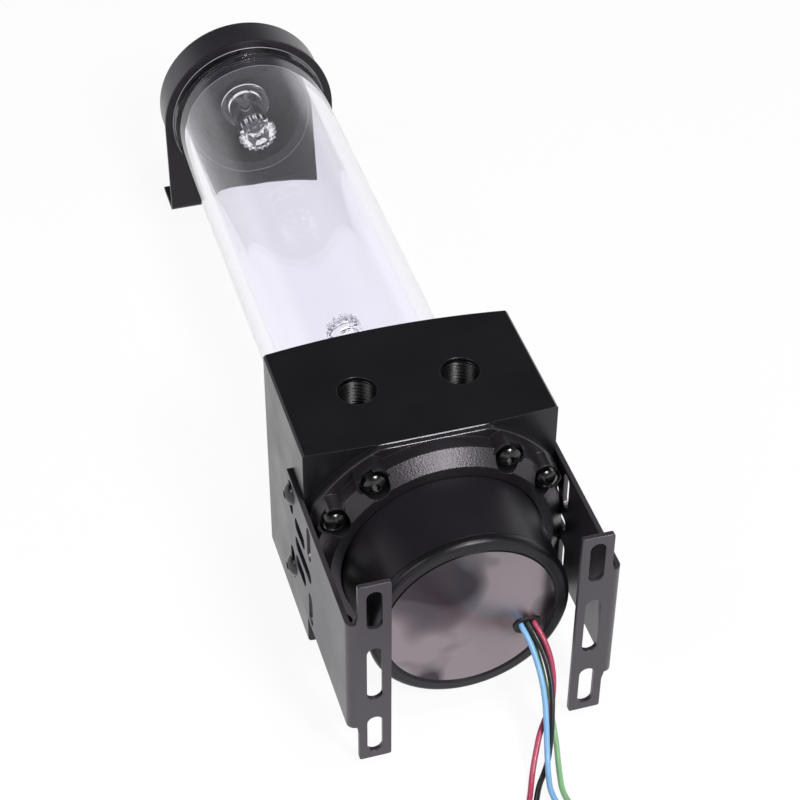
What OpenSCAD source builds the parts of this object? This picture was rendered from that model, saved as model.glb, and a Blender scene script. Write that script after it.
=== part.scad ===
// Coolant pump and reservoir, lying on its back.
// X runs across the pump block, Y along the reservoir from the pump to the cap, Z up.
// The origin is the centre of the block's back face, which lies on Z = 0.

/* [Pump block] */
// Width of the block, along X
block_w = 80; // [76:1:90]
// Depth of the block, from its back to its port face
block_d = 80; // [76:1:90]
// Length of the block at its corners, along Y
block_l = 48; // [46:1:60]
// How far the reservoir end of the block bows out
tube_face_bow = 3; // [1:0.5:5]
// How far the pump end of the block bows out
pump_face_bow = 1.7; // [1:0.1:2.5]
// Distance of each port from the middle of the port face
port_x = 16.5; // [15:0.5:20]
// Diameter of the port thread, G 1/4
port_dia = 13.2; // [12:0.1:14]
// Depth of the port thread
port_depth = 12; // [10:1:14]

/* [Reservoir] */
// Outer diameter of the clear tube
tube_od = 60; // [56:1:62]
// Wall of the clear tube
tube_wall = 5; // [4:0.5:6]
// Length of the clear tube
tube_l = 206; // [120:1:320]
// Diameter of the cap
cap_od = 65; // [65:1:70]
// Thickness of the cap's rim
cap_t = 14.5; // [12:0.5:20]
// Length of the threaded neck that reaches into the tube
neck_l = 9; // [6:1:14]

/* [Light plugs] */
// Diameter of the fluted plugs
plug_dia = 15.4; // [14:0.2:17]
// Length of the fluted plug that hangs from the cap
plug_l = 21; // [12:1:40]
// Number of flutes round a plug
flutes = 14; // [10:1:18]
// Height of the riser above the block
riser_l = 46; // [30:1:90]
// Diameter of the riser's fluted head
riser_head_dia = 12.6; // [12:0.2:17]

/* [Clamp ring] */
// Radius of the ring's foot, which the block's sides cut flat
ring_foot_r = 43.7; // [42:0.1:45]
// Height of the whole ring
ring_h = 11.2; // [10.5:0.1:14]
// Width of the bevel on the ring's front edge
ring_bevel = 4.2; // [3:0.1:4.6]
// Distance of the screws from the ring's foot edge
screw_inset = 4.4; // [3.9:0.1:4.9]
// Angle between a screw and the nearer diagonal of the block
screw_spread = 12.8; // [12:0.1:15]

/* [Brackets] */
// Thickness of the sheet metal
sheet_t = 1.5; // [1:0.1:2]
// Height of a side plate
plate_h = 44; // [44:1:50]
// Height of a mounting flange
flange_h = 74; // [70:1:80]
// Width of a mounting flange
flange_w = 13.2; // [12:0.2:15]
// Distance from the block's pump end to the flange's face
flange_reach = 53.3; // [50:0.1:70]
// Width of the mounting slots
slot_w = 4.8; // [4.2:0.1:5]
// Length of the outer mounting slots
slot_l = 15.3; // [10:0.1:17]
// Length of the foot of the upper bracket
foot_l = 16; // [14:1:22]

/* [Pump motor] */
// Radius of the motor can where it leaves the ring
can_r = 32; // [31.5:0.1:32.2]
// Length of the motor from the block's seat to its end
motor_l = 38.5; // [36:0.5:46]
// Radius of the rotor
rotor_r = 17.2; // [15:0.1:17.2]
// Number of impeller vanes
vanes = 6; // [4:1:8]

/* [Wires] */
// Diameter of one wire
wire_dia = 1.8; // [1.6:0.1:1.8]
// Turns in each stowed coil
coil_turns = 4; // [3:1:6]

/* [Hidden] */
$fn = 96;
eps = 0.01;

// The common axis of tube and pump
axis_z = block_d / 2;

// Planes along Y
pump_end = -block_l / 2;
seat_y = pump_end - 1.75;
tube_end = block_l / 2;
tube_bottom = tube_end - 9.5;
seal_t = 1.5;
socket_floor = tube_bottom - seal_t;
spigot_top = tube_end + 6;
tube_top = tube_bottom + tube_l;
cap_grip = 4;
cap_near = tube_top - cap_grip;
cap_far = cap_near + cap_t;
chamber_top = seat_y + 7.75;

tube_or = tube_od / 2;
tube_ir = tube_or - tube_wall;
neck_r = tube_ir - 0.3;
groove_r = neck_r - 1.6;
port_r = port_dia / 2;
passage_r = 3.8;
passage_z = axis_z + 12;
passage_reach = 1.5;
chamber_r = 21;
inlet_r = 3;
inlet_circle_r = 9.8;
riser_r = 5.5;
riser_socket = 8;

// Clamp ring, its screws and the flange of the motor that it holds
ring_front = seat_y - ring_h;
ring_body_r = min(block_w, block_d) / 2;
screw_circle_r = ring_foot_r - screw_inset;
ring_step = seat_y - 2.15;
pocket_floor = seat_y - 6.4;
pocket_rim = seat_y - 8.4;
pocket_r = 4.5;
pocket_wall = 0.8;
clamp_head_r = 3.5;
clamp_head_h = 4.2;
clamp_dome_h = 1.5;
clamp_shank_r = 1.75;
clamp_shank_l = 17;
hex_key = 2.5;
motor_flange_r = 33.7;
motor_flange_back = seat_y - 4.5;
pot_flange_t = 1.5;
pump_seal_r = motor_flange_r - 4.7;
pump_seal_section = 1;
clamp_angles = [for (q = [0 : 3]) for (s = [-1, 1]) 45 + 90 * q + s * screw_spread];

// Side brackets and their screws
plate_far = pump_end + 15;
flange_y = pump_end - flange_reach;
bend_r = 2.6;
slot_x = block_w / 2 - 6.7;
outer_slot_z = 26.6;
middle_slot_l = 22;
adjust_w = 4.5;
adjust_l = 13;
cross_w = 5;
cross_l = 12;
near_slot_y = pump_end - 10.75;
far_slot_y = pump_end + 10.75;
bracket_screw_z = plate_h / 2 - 6.5;
bracket_screw_l = 8;
m4_r = 2;
m4_head_r = 3.8;
m4_head_h = 2.2;

// Upper bracket
upper_r = cap_od / 2 + 1;
upper_y = cap_near - 0.3;
foot_slot_x = 20;

// Motor
can_back_r = can_r - 1;
motor_end = seat_y - motor_l;
end_cap_t = 3.5;
housing_back = motor_end + end_cap_t;
label_recess = 0.6;
label_r = 26.6;
cavity_r = can_back_r - 2.4;
rotor_y = seat_y - 2.25;
pot_ir = rotor_r + 0.4;
pot_t = 0.8;
ball_r = 3;
ball_y = rotor_y - 5;
hub_r = 6;
hub_back = rotor_y - 13;
impeller_r = rotor_r + 1.3;
stator_r = cavity_r - 1.6;
stator_front = rotor_y - 4;
stator_back = rotor_y - 17;
yoke_t = 3;
pole_w = 5;
pole_h = stator_front - stator_back - 6;
coil_t = 3;
poles = 6;
board_y = housing_back + 6;
grommet_x = 18.3;
grommet_z = axis_z - 8.5;

// Wires. Each route was laid for one height of the exit and one place of the motor's end: out of the
// motor, down, and over the floor to its coil. It follows them when they change.
wr = wire_dia / 2;
lay = 1.85;
tie_t = 0.4;
coil_base = tie_t + wr;
coil_r = 10.7;
coil_pitch = 2 * lay;
coil_rise = coil_turns * coil_pitch;
coil_h = coil_rise + lay + wire_dia;
laid_end = -64.25;
laid_exit_z = 31.5;
laid_coil_y = -140;
end_shift = motor_end - laid_end;
exit_rise = (grommet_z - wr) / (laid_exit_z - wr);
coil_y = laid_coil_y + end_shift;
power_coil_x = -14;
signal_coil_x = 36;
power_x = power_coil_x + coil_r;
signal_x = signal_coil_x - coil_r;
plug_y = coil_y - 32;
power_pin_z = 4.2;
signal_pin_z = 3.1;
power_pitch = 5.08;
signal_pitch = 2.54;
power_plug_x = 1.8;
signal_plug_x = 22.76;

function follow(points) = [for (p = points) [p.x, p.y + end_shift, wr + (p.z - wr) * exit_rise]];

route_red = [[20.4, -62, 32.2], [20.4, -65.4, 32.1], [21.5, -68.2, 30], [22.6, -71.6, 26.4],
    [22.9, -75, 22], [22.4, -78, 17.4], [20.6, -81.4, 13.2], [17.7, -84.4, 10.6], [15, -87.8, 8.9],
    [12.9, -91.2, 6.5], [10.9, -94.6, 3.8], [9.2, -98, 1.7], [7.6, -101.6, wr], [5.2, -106.6, wr],
    [2.4, -112.6, wr], [-0.4, -119, wr], [-2.4, -126, wr], [-3.2, -133, wr + 0.2],
    [power_x, laid_coil_y, coil_base]];
route_black = [[18.3, -62, 32.8], [18.3, -65.4, 32.7], [19.3, -68.6, 30.8], [20.6, -72.2, 27.2],
    [21.2, -76.6, 22.8], [20.8, -81, 18.2], [19.6, -85.2, 13.4], [18.4, -88.6, 8.8], [17.2, -91, 4.8],
    [15.8, -93.4, 2], [13.6, -96.4, wr], [11, -100, wr], [8.6, -104.4, wr], [6, -110, 1.4],
    [3.4, -116, 2.4], [0.4, -122.6, 2.9], [-2, -129, 2.9], [-3.1, -134.6, 3],
    [power_x, laid_coil_y, coil_base + lay]];
route_blue = [[16.2, -62, 32.2], [16.2, -65.4, 32.1], [17.1, -68.6, 30.2], [17.9, -72.4, 27],
    [18.2, -77.4, 23.2], [18, -82.2, 18.6], [17.1, -87, 13.6], [16, -91.4, 8.6], [15, -95.4, 5],
    [13.9, -99.6, 3.4], [13, -104.4, 2.8], [13.6, -110, 2], [15.6, -116.5, 1], [18.4, -123, wr],
    [21.8, -129, wr], [24.4, -134.6, wr + 0.2], [signal_x, laid_coil_y, coil_base]];
route_green = [[18.3, -62, 30.2], [18.3, -65.4, 30.1], [18.8, -68.2, 28], [19.6, -71, 24.2],
    [20.3, -74, 19.2], [20.7, -77.2, 14.2], [20.9, -80.6, 9.8], [20.8, -84.6, 6.2], [20.2, -89, 3.6],
    [19.2, -93.4, 1.8], [18, -98.6, wr], [17, -103.6, wr], [17.2, -109.4, 1.4], [18.8, -115.6, 2.4],
    [21, -121.6, 2.9], [23.2, -127.6, 2.9], [24.8, -133.6, 3.05], [signal_x, laid_coil_y, coil_base + lay]];

lead_red = follow(route_red);
lead_black = follow(route_black);
lead_blue = follow(route_blue);
lead_green = follow(route_green);

// From the top of its coil down to the plug
function tail(x, start_z, pin_x, pin_z) = [
    [x, coil_y, start_z],
    [x + 0.5 * (pin_x - x), coil_y - 5, start_z - 0.4],
    [x + 0.9 * (pin_x - x), coil_y - 11, start_z - 0.26 * (start_z - pin_z) - 0.6],
    [pin_x, coil_y - 18, start_z - 0.66 * (start_z - pin_z) - 0.5],
    [pin_x, coil_y - 25, pin_z + 0.08 * (start_z - pin_z)],
    [pin_x, plug_y, pin_z]];

red_pin_x = power_plug_x - 1.5 * power_pitch;
black_pin_x = power_plug_x - 0.5 * power_pitch;
blue_pin_x = signal_plug_x + 1.5 * signal_pitch;
green_pin_x = signal_plug_x + 0.5 * signal_pitch;

// ---------------------------------------------------------------- shapes

// Turns children drawn upright round Z into parts round the tube axis, z up becoming +Y
module on_axis(y = 0) {
    translate([0, y, axis_z]) rotate([-90, 0, 0]) children();
}

module disc(r, y0, y1) {
    on_axis(y0) cylinder(r = r, h = y1 - y0);
}

module washer(r_out, r_in, y0, y1) {
    difference() {
        disc(r_out, y0, y1);
        disc(r_in, y0 - 1, y1 + 1);
    }
}

// A profile of [radius, y] points turned round the tube axis
module turned(points) {
    on_axis() rotate_extrude() polygon(points);
}

module o_ring(ring_r, section_r, y) {
    on_axis(y) rotate_extrude() translate([ring_r, 0]) circle(r = section_r, $fn = 32);
}

// A round-ended slot in 2D, its length along X
module slot_2d(length, width) {
    straight = length - width;
    square([straight, width], center = true);
    for (s = [-1, 1]) translate([s * straight / 2, 0]) circle(d = width, $fn = 48);
}

module rounded_2d(w, h, r) {
    square([w - 2 * r, h], center = true);
    square([w, h - 2 * r], center = true);
    for (x = [-1, 1], y = [-1, 1]) translate([x * (w / 2 - r), y * (h / 2 - r)]) circle(r = r, $fn = 32);
}

module rounded_box(size, r) {
    linear_extrude(size.z) rounded_2d(size.x, size.y, r);
}

module hexagon(across_flats, h) {
    cylinder(d = across_flats / cos(30), h = h, $fn = 6);
}

// A screw with a domed head above Z = 0, a hexagon socket, and its shank below
module domed_screw(head_r, head_h, dome_h, shank_r, shank_l) {
    dome_r = (head_r * head_r + dome_h * dome_h) / (2 * dome_h);
    difference() {
        union() {
            intersection() {
                cylinder(r = head_r, h = head_h, $fn = 48);
                translate([0, 0, head_h - dome_r]) sphere(r = dome_r, $fn = 96);
            }
            translate([0, 0, -shank_l]) cylinder(r = shank_r, h = shank_l + eps, $fn = 32);
        }
        translate([0, 0, head_h - 1.5]) hexagon(hex_key, head_h);
    }
}

// A fluted clear barrel, upright, with a dimple in its end
module fluted_barrel(dia, h) {
    flute_r = dia * 0.07;
    difference() {
        cylinder(d = dia, h = h);
        for (i = [0 : flutes - 1]) rotate(i * 360 / flutes) translate([dia / 2 + flute_r * 0.35, 0, -1])
            cylinder(r = flute_r, h = h + 2, $fn = 24);
        translate([0, 0, -1]) cylinder(r = 1.3, h = 2.2, $fn = 32);
    }
}

function unit(v) = v / norm(v);

// A closed tube swept through a list of points, one ring of eight corners at each
module swept(points, r) {
    sides = 8;
    n = len(points);
    tangent = [for (i = [0 : n - 1]) unit(points[min(i + 1, n - 1)] - points[max(i - 1, 0)])];
    across = [for (t = tangent) unit(cross(t, [1, 0, 0]))];
    up = [for (i = [0 : n - 1]) cross(across[i], tangent[i])];
    corners = [for (i = [0 : n - 1]) for (k = [0 : sides - 1])
        points[i] + r * (cos(360 * k / sides) * across[i] + sin(360 * k / sides) * up[i])];
    walls = [for (i = [0 : n - 2]) for (k = [0 : sides - 1])
        [i * sides + k, i * sides + (k + 1) % sides, (i + 1) * sides + (k + 1) % sides, (i + 1) * sides + k]];
    near_end = [for (k = [sides - 1 : -1 : 0]) k];
    far_end = [for (k = [0 : sides - 1]) (n - 1) * sides + k];
    polyhedron(corners, concat(walls, [near_end], [far_end]));
}

// ---------------------------------------------------------------- pump block

module block_outline() {
    cut = 0.7;
    w = block_w / 2;
    polygon([[-w + cut, 0], [w - cut, 0], [w, cut], [w, block_d - cut], [w - cut, block_d],
        [-w + cut, block_d], [-w, block_d - cut], [-w, cut]]);
}

// A column with the block's outline between two planes along Y
module block_column(y0, y1) {
    translate([0, y1, 0]) rotate([90, 0, 0]) linear_extrude(y1 - y0) block_outline();
}

// The bowed end of the block: a large upright cylinder through its corners
module bowed_end(sign, bow) {
    half = block_w / 2;
    r = (half * half + bow * bow) / (2 * bow);
    translate([0, sign * (block_l / 2 + bow - r), -1]) cylinder(r = r, h = block_d + 2, $fn = 720);
}

module port_cut(side) {
    translate([side * port_x, 0, block_d - port_depth]) cylinder(r = port_r, h = port_depth + 1);
    translate([side * port_x, 0, block_d - 1]) cylinder(r1 = port_r, r2 = port_r + 1.1, h = 1 + eps);
    translate([side * port_x, 0, passage_z]) cylinder(r = passage_r, h = block_d - port_depth - passage_z + eps);
    translate([side * port_x, 0, passage_z]) sphere(r = passage_r, $fn = 48);
}

module passage(side, y0, y1) {
    translate([side * port_x, y0, passage_z]) rotate([-90, 0, 0]) cylinder(r = passage_r, h = y1 - y0);
}

module pump_block() color("#26272a") difference() {
    union() {
        intersection() {
            block_column(pump_end - 5, tube_end + 5);
            bowed_end(1, tube_face_bow);
            bowed_end(-1, pump_face_bow);
        }
        intersection() {
            disc(ring_foot_r, seat_y, pump_end + 1);
            block_column(seat_y, pump_end + 1);
        }
        disc(neck_r, socket_floor, spigot_top);
    }
    // Socket round the spigot for the tube and its seal
    washer(tube_or + 0.15, neck_r, socket_floor, tube_end + 10);
    // Pump chamber and the groove of its seal
    disc(chamber_r, seat_y - 1, chamber_top);
    washer(pump_seal_r + 1.5, pump_seal_r - 1.5, seat_y - 1, seat_y + 2 * pump_seal_section);
    for (i = [0 : 2]) translate([0, chamber_top - 1, axis_z]) rotate([0, i * 120 + 30, 0])
        translate([inlet_circle_r, 0, 0]) rotate([-90, 0, 0]) cylinder(r = inlet_r, h = spigot_top - chamber_top + 2, $fn = 48);
    disc(riser_r, spigot_top - riser_socket, spigot_top + 1);
    for (side = [-1, 1]) port_cut(side);
    passage(1, chamber_top - passage_reach, 0);
    passage(-1, 0, spigot_top + 1);
    for (a = clamp_angles) at_clamp_screw(a, seat_y - 1) cylinder(r = clamp_shank_r, h = clamp_shank_l - 3.5, $fn = 32);
    for (side = [-1, 1], s = [-1, 1]) translate([side * (block_w / 2 - bracket_screw_l), far_slot_y, axis_z + s * bracket_screw_z])
        rotate([0, 90 * side, 0]) cylinder(r = m4_r, h = bracket_screw_l + 1, $fn = 32);
}

// ---------------------------------------------------------------- reservoir

module reservoir_tube() color([0.86, 0.87, 0.95, 0.35])
    washer(tube_or, tube_ir, tube_bottom, tube_top);

module tube_seal() color("#1b1b1c") washer(tube_or - 0.2, tube_ir + 0.2, socket_floor, tube_bottom);

module reservoir_cap() color("#232426") difference() {
    union() {
        edge = 0.8;
        rim = cap_od / 2;
        turned([[0, cap_near], [rim - 0.4, cap_near], [rim, cap_near + 0.4], [rim, cap_far - edge],
            [rim - edge, cap_far], [0, cap_far]]);
        neck_bottom = cap_near - neck_l;
        pitch = neck_l / 7;
        thread = [for (i = [0 : 3]) for (p = [[neck_r - 0.7, i + 0.35], [neck_r, i + 0.6], [neck_r, i + 0.8], [neck_r - 0.7, i + 1.05]])
            [p[0], neck_bottom + p[1] * pitch]];
        turned(concat([[0, neck_bottom], [neck_r - 0.7, neck_bottom]], thread, [[neck_r - 0.7, cap_near - 2.1],
            [groove_r, cap_near - 2.1], [groove_r, cap_near + eps], [0, cap_near + eps]]));
    }
    // Groove that takes the end of the tube, and the seal's groove above the thread
    washer(tube_or + 0.3, tube_ir - 0.3, cap_near - eps, cap_near + cap_grip + 0.3);
    // Hollow underside and the plug's thread
    disc(neck_r - 5, cap_near - neck_l - 1, cap_near + 4);
    disc(port_r, cap_near, cap_far + 1);
}

module cap_seal() color("#151515") {
    section_r = (tube_ir - 0.1 - groove_r) / 2;
    o_ring(groove_r + section_r, section_r, cap_near - section_r);
}

module light_plug() color([0.93, 0.94, 0.97, 0.4]) {
    shelf = cap_near + 4;
    flange_t = 2;
    difference() {
        union() {
            on_axis(shelf - seal_t - flange_t - plug_l) fluted_barrel(plug_dia, plug_l);
            disc(9.5, shelf - seal_t - flange_t - eps, shelf - seal_t);
            disc(port_r - 0.05, shelf - seal_t - eps, cap_far - 1);
        }
        on_axis(shelf + 1) hexagon(8, cap_t);
        disc(2.55, shelf - plug_l + 3, shelf + 2);
    }
}

module light_plug_seal() color("#151515")
    washer(9.3, port_r + 0.1, cap_near + 4 - seal_t, cap_near + 4);

module light_riser() color([0.93, 0.94, 0.97, 0.4]) {
    head_h = 4;
    top = spigot_top + riser_l;
    disc(riser_r, spigot_top - riser_socket, top - head_h + eps);
    on_axis(top) mirror([0, 0, 1]) fluted_barrel(riser_head_dia, head_h);
}

// ---------------------------------------------------------------- brackets

// The upper bracket: a collar round the tube under the cap, with a foot on the floor
module top_bracket() color("#333438") {
    difference() {
        translate([0, upper_y, 0]) rotate([90, 0, 0]) linear_extrude(sheet_t) difference() {
            union() {
                translate([0, axis_z]) circle(r = upper_r);
                translate([-upper_r, bend_r]) square([2 * upper_r, axis_z - bend_r]);
            }
            translate([0, axis_z]) circle(r = tube_or + 0.3);
        }
    }
    // Bend and foot, drawn in the YZ plane
    translate([-upper_r, upper_y - sheet_t, 0]) rotate([90, 0, 90]) linear_extrude(2 * upper_r)
        translate([bend_r, bend_r]) intersection() {
            difference() {
                circle(r = bend_r, $fn = 64);
                circle(r = bend_r - sheet_t, $fn = 64);
            }
            translate([-bend_r, -bend_r]) square(bend_r);
        }
    translate([0, upper_y - sheet_t + bend_r, 0]) linear_extrude(sheet_t) difference() {
        translate([-upper_r, 0]) square([2 * upper_r, foot_l - bend_r]);
        for (s = [-1, 1]) translate([s * foot_slot_x, (foot_l - bend_r) / 2]) slot_2d(slot_l, slot_w);
    }
}

// The right bracket; the left one is its mirror image
module side_bracket() {
    outer = block_w / 2 + sheet_t;
    bend_y = flange_y + bend_r;
    difference() {
        union() {
            translate([block_w / 2, bend_y, axis_z - plate_h / 2]) cube([sheet_t, plate_far - bend_y, plate_h]);
            translate([outer - bend_r, bend_y, axis_z - plate_h / 2]) linear_extrude(plate_h) intersection() {
                difference() {
                    circle(r = bend_r, $fn = 64);
                    circle(r = bend_r - sheet_t, $fn = 64);
                }
                translate([0, -bend_r]) square(bend_r);
            }
            translate([0, flange_y + sheet_t, axis_z]) rotate([90, 0, 0]) linear_extrude(sheet_t) flange_outline();
        }
        plate_cuts();
        translate([slot_x, flange_y + 2 * sheet_t, axis_z]) rotate([90, 0, 0]) linear_extrude(3 * sheet_t) {
            rotate(90) slot_2d(middle_slot_l, slot_w);
            for (s = [-1, 1]) translate([0, s * outer_slot_z]) rotate(90) slot_2d(slot_l, slot_w);
        }
    }
}

// Outline of a flange in X and Z, with the slanted steps beside its bend
module flange_outline() {
    inner = block_w / 2 + sheet_t - flange_w;
    narrow = block_w / 2 - 1.8;
    wide = block_w / 2 + sheet_t - bend_r;
    translate([(inner + narrow) / 2, 0]) rounded_2d(narrow - inner, flange_h, 0.8);
    polygon([[narrow - 1, -plate_h / 2 - 3], [narrow, -plate_h / 2 - 3], [wide, -plate_h / 2],
        [wide, plate_h / 2], [narrow, plate_h / 2 + 3], [narrow - 1, plate_h / 2 + 3]]);
}

// The adjusting slots through a side plate, drawn in Y and Z
module plate_cuts() {
    mid_z = bracket_screw_z - 1.5;
    translate([block_w / 2 - 1, 0, axis_z]) rotate([90, 0, 90]) linear_extrude(sheet_t + 2) {
        for (y = [near_slot_y, far_slot_y], s = [-1, 1]) translate([y, s * mid_z]) rotate(90) slot_2d(adjust_l, adjust_w);
        for (s = [-1, 1]) translate([pump_end + 0.5, s * 8]) slot_2d(cross_l, cross_w);
        translate([pump_end - 3, 0]) slot_2d(cross_l + 7, cross_w);
    }
}

module bracket_right() color("#3b3c40") side_bracket();

module bracket_left() color("#3b3c40") mirror([1, 0, 0]) side_bracket();

module bracket_screw_pair(side) {
    for (s = [-1, 1]) translate([side * (block_w / 2 + sheet_t), far_slot_y, axis_z + s * bracket_screw_z])
        rotate([0, 90 * side, 0]) domed_screw(m4_head_r, m4_head_h, m4_head_h, m4_r, bracket_screw_l);
}

module bracket_screws_left() color("#1d1d1f") bracket_screw_pair(-1);

module bracket_screws_right() color("#1d1d1f") bracket_screw_pair(1);

// ---------------------------------------------------------------- clamp ring

module clamp_ring() color("#2b2b2e") difference() {
    edge = 0.3;
    union() {
        intersection() {
            block_column(ring_step, seat_y);
            turned([[0, seat_y], [ring_foot_r - edge, seat_y], [ring_foot_r, seat_y - edge],
                [ring_foot_r, ring_step + edge], [ring_foot_r - edge, ring_step], [0, ring_step]]);
        }
        // Lobes that carry the screws beyond the ring's body
        intersection() {
            for (a = clamp_angles) at_clamp_screw(a, pocket_rim) cylinder(r = pocket_r + pocket_wall, h = seat_y - pocket_rim, $fn = 48);
            disc(ring_foot_r - edge, pocket_rim - 1, seat_y);
            block_column(pocket_rim - 1, seat_y);
        }
        turned([[0, seat_y - 1], [ring_body_r, seat_y - 1], [ring_body_r, ring_front + ring_bevel],
            [ring_body_r - ring_bevel, ring_front], [0, ring_front]]);
    }
    disc(motor_flange_r + 0.3, motor_flange_back - 0.2, seat_y + 1);
    disc(can_r + 0.3, ring_front - 1, seat_y + 1);
    for (a = clamp_angles) {
        at_clamp_screw(a, ring_front - 1) cylinder(r = pocket_r, h = pocket_floor - ring_front + 1, $fn = 48);
        at_clamp_screw(a, pocket_floor - 1) cylinder(r = clamp_shank_r + 0.2, h = ring_h, $fn = 32);
    }
}

// Places children on a screw's axis, upright toward +Y, from the plane y
module at_clamp_screw(a, y) {
    on_axis(y) rotate(a) translate([screw_circle_r, 0, 0]) children();
}

module clamp_screws() color("#161617")
    for (a = clamp_angles) at_clamp_screw(a, pocket_floor) mirror([0, 0, 1])
        domed_screw(clamp_head_r, clamp_head_h, clamp_dome_h, clamp_shank_r, clamp_shank_l);

module pump_seal() color("#151515") o_ring(pump_seal_r, pump_seal_section, seat_y + pump_seal_section);

// ---------------------------------------------------------------- pump motor

module separation_pot() color("#8e9094") {
    washer(motor_flange_r, pot_ir + pot_t, seat_y - pot_flange_t, seat_y);
    difference() {
        union() {
            on_axis(rotor_y) sphere(r = pot_ir + pot_t);
            disc(pot_ir + pot_t + eps, rotor_y, seat_y);
        }
        on_axis(rotor_y) sphere(r = pot_ir);
        disc(pot_ir, rotor_y, seat_y + 1);
        disc(rotor_r + 10, seat_y, seat_y + 30);
    }
}

module bearing_post() color("#9fa1a5") {
    foot = rotor_y - pot_ir;
    difference() {
        disc(1.5, foot + 0.06, ball_y);
        on_axis(ball_y) sphere(r = ball_r, $fn = 64);
    }
}

module bearing_ball() color("#f2f0ea") on_axis(ball_y) sphere(r = ball_r, $fn = 64);

// A closed impeller on the hub that runs on the ball; it turns round the tube axis
module impeller() color("#d8d8d4") difference() {
    base_y = seat_y + 0.4;
    vane_h = 4;
    base_t = 1.5;
    union() {
        disc(hub_r, hub_back, base_y + base_t);
        disc(impeller_r, base_y, base_y + base_t);
        for (i = [0 : vanes - 1]) on_axis(base_y + base_t - eps) rotate(i * 360 / vanes) impeller_vane(vane_h);
        washer(impeller_r, impeller_r - 8, base_y + base_t + vane_h - 2 * eps, base_y + base_t + vane_h + 0.7);
    }
    on_axis(ball_y) sphere(r = ball_r + 0.06, $fn = 64);
    disc(ball_r + 0.06, rotor_y - 20, ball_y);
}

// One backward-swept vane: part of a ring that runs from the hub to the rim
module impeller_vane(h) {
    sweep_r = impeller_r * 0.62;
    intersection() {
        translate([sweep_r, 0, 0]) difference() {
            cylinder(r = sweep_r, h = h);
            translate([0, 0, -1]) cylinder(r = sweep_r - 1.2, h = h + 2);
        }
        difference() {
            cylinder(r = impeller_r - 0.2, h = h);
            translate([0, 0, -1]) cylinder(r = hub_r - 1, h = h + 2);
        }
        translate([0, 0, -1]) cube([impeller_r, impeller_r, h + 2]);
    }
}

module rotor_magnet() color("#3a3a3d") difference() {
    union() {
        on_axis(rotor_y) sphere(r = rotor_r);
        disc(rotor_r, rotor_y, seat_y + 0.4);
    }
    disc(rotor_r + 5, seat_y + 0.4, seat_y + 40);
    disc(hub_r, rotor_y - 30, seat_y + 1);
}

module pump_housing() color("#303034") difference() {
    turned([[0, seat_y - pot_flange_t], [motor_flange_r, seat_y - pot_flange_t], [motor_flange_r, motor_flange_back],
        [can_r, motor_flange_back], [can_r, ring_front - 1], [can_back_r, housing_back], [0, housing_back]]);
    disc(cavity_r, housing_back - 1, motor_flange_back);
    disc(pot_ir + pot_t + 0.1, motor_flange_back - 1, seat_y);
}

module stator_core() color("#77797d") difference() {
    union() {
        washer(stator_r + 1.2, stator_r - yoke_t, stator_back, stator_front);
        for (i = [0 : poles - 1]) on_axis(stator_back + 3) rotate(i * 360 / poles + 30)
            translate([hub_r, -pole_w / 2, 0]) cube([stator_r - yoke_t / 2 - hub_r, pole_w, pole_h]);
    }
    on_axis(rotor_y) sphere(r = pot_ir + pot_t + 0.15);
}

module stator_windings() color("#b5673a") difference() {
    wind_w = 2.1;
    for (i = [0 : poles - 1]) on_axis(stator_back + 3) rotate(i * 360 / poles + 30)
        translate([stator_r - yoke_t - coil_t - 0.7, 0, pole_h / 2]) rotate([90, 0, 90]) linear_extrude(coil_t) difference() {
            square([pole_w + 2 * wind_w, pole_h + 2 * wind_w - 0.4], center = true);
            square([pole_w, pole_h], center = true);
        }
    on_axis(rotor_y) sphere(r = pot_ir + pot_t + 0.3);
}

module control_board() color("#1f5a36") {
    washer(cavity_r - 0.1, 2, board_y, board_y + 1.6);
    for (a = [20, 100, 200, 290]) on_axis() rotate(a) translate([15, 0, board_y - 3]) cylinder(r = 3, h = 3 + eps, $fn = 32);
    for (a = [60, 150, 245]) on_axis() rotate(a) translate([12, -3.5, board_y - 1.4]) cube([7, 7, 1.4 + eps]);
}

module motor_end_cap() color("#2a2a2d") difference() {
    round_r = 1.6;
    rim_r = can_back_r + 0.4;
    turned([[0, housing_back], [rim_r - 0.6, housing_back], [rim_r, housing_back - 0.6],
        [rim_r, motor_end + round_r],
        for (a = [0 : 15 : 90]) [rim_r - round_r + round_r * cos(a), motor_end + round_r - round_r * sin(a)],
        [label_r + 1, motor_end], [label_r + 0.2, motor_end + label_recess], [0, motor_end + label_recess]]);
    translate([grommet_x, motor_end - 1, grommet_z]) rotate([-90, 0, 0]) linear_extrude(end_cap_t + 2) slot_2d(9, 5.6);
}

module label_disc() color("#6f6d74") difference() {
    disc(label_r, motor_end + label_recess - 0.3, motor_end + label_recess);
    translate([grommet_x, motor_end - 1, grommet_z]) rotate([-90, 0, 0]) linear_extrude(end_cap_t + 2) slot_2d(9, 5.6);
}

module wire_grommet() color("#141415") difference() {
    translate([grommet_x, motor_end - 0.2, grommet_z]) rotate([-90, 0, 0]) linear_extrude(end_cap_t + 0.2) slot_2d(9, 5.6);
    for (p = [lead_red[0], lead_black[0], lead_blue[0], lead_green[0]])
        translate([p.x, motor_end - 2, p.z]) rotate([-90, 0, 0]) cylinder(r = wr + 0.1, h = end_cap_t + 4, $fn = 24);
}

// ---------------------------------------------------------------- wires

module wire_red() color("#b8283a") {
    swept(lead_red, wr);
    swept(tail(power_x, coil_base + coil_rise, red_pin_x, power_pin_z), wr);
}

module wire_black() color("#1a1a1c") {
    swept(lead_black, wr);
    swept(tail(power_x, coil_base + lay + coil_rise, black_pin_x, power_pin_z), wr);
}

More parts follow.
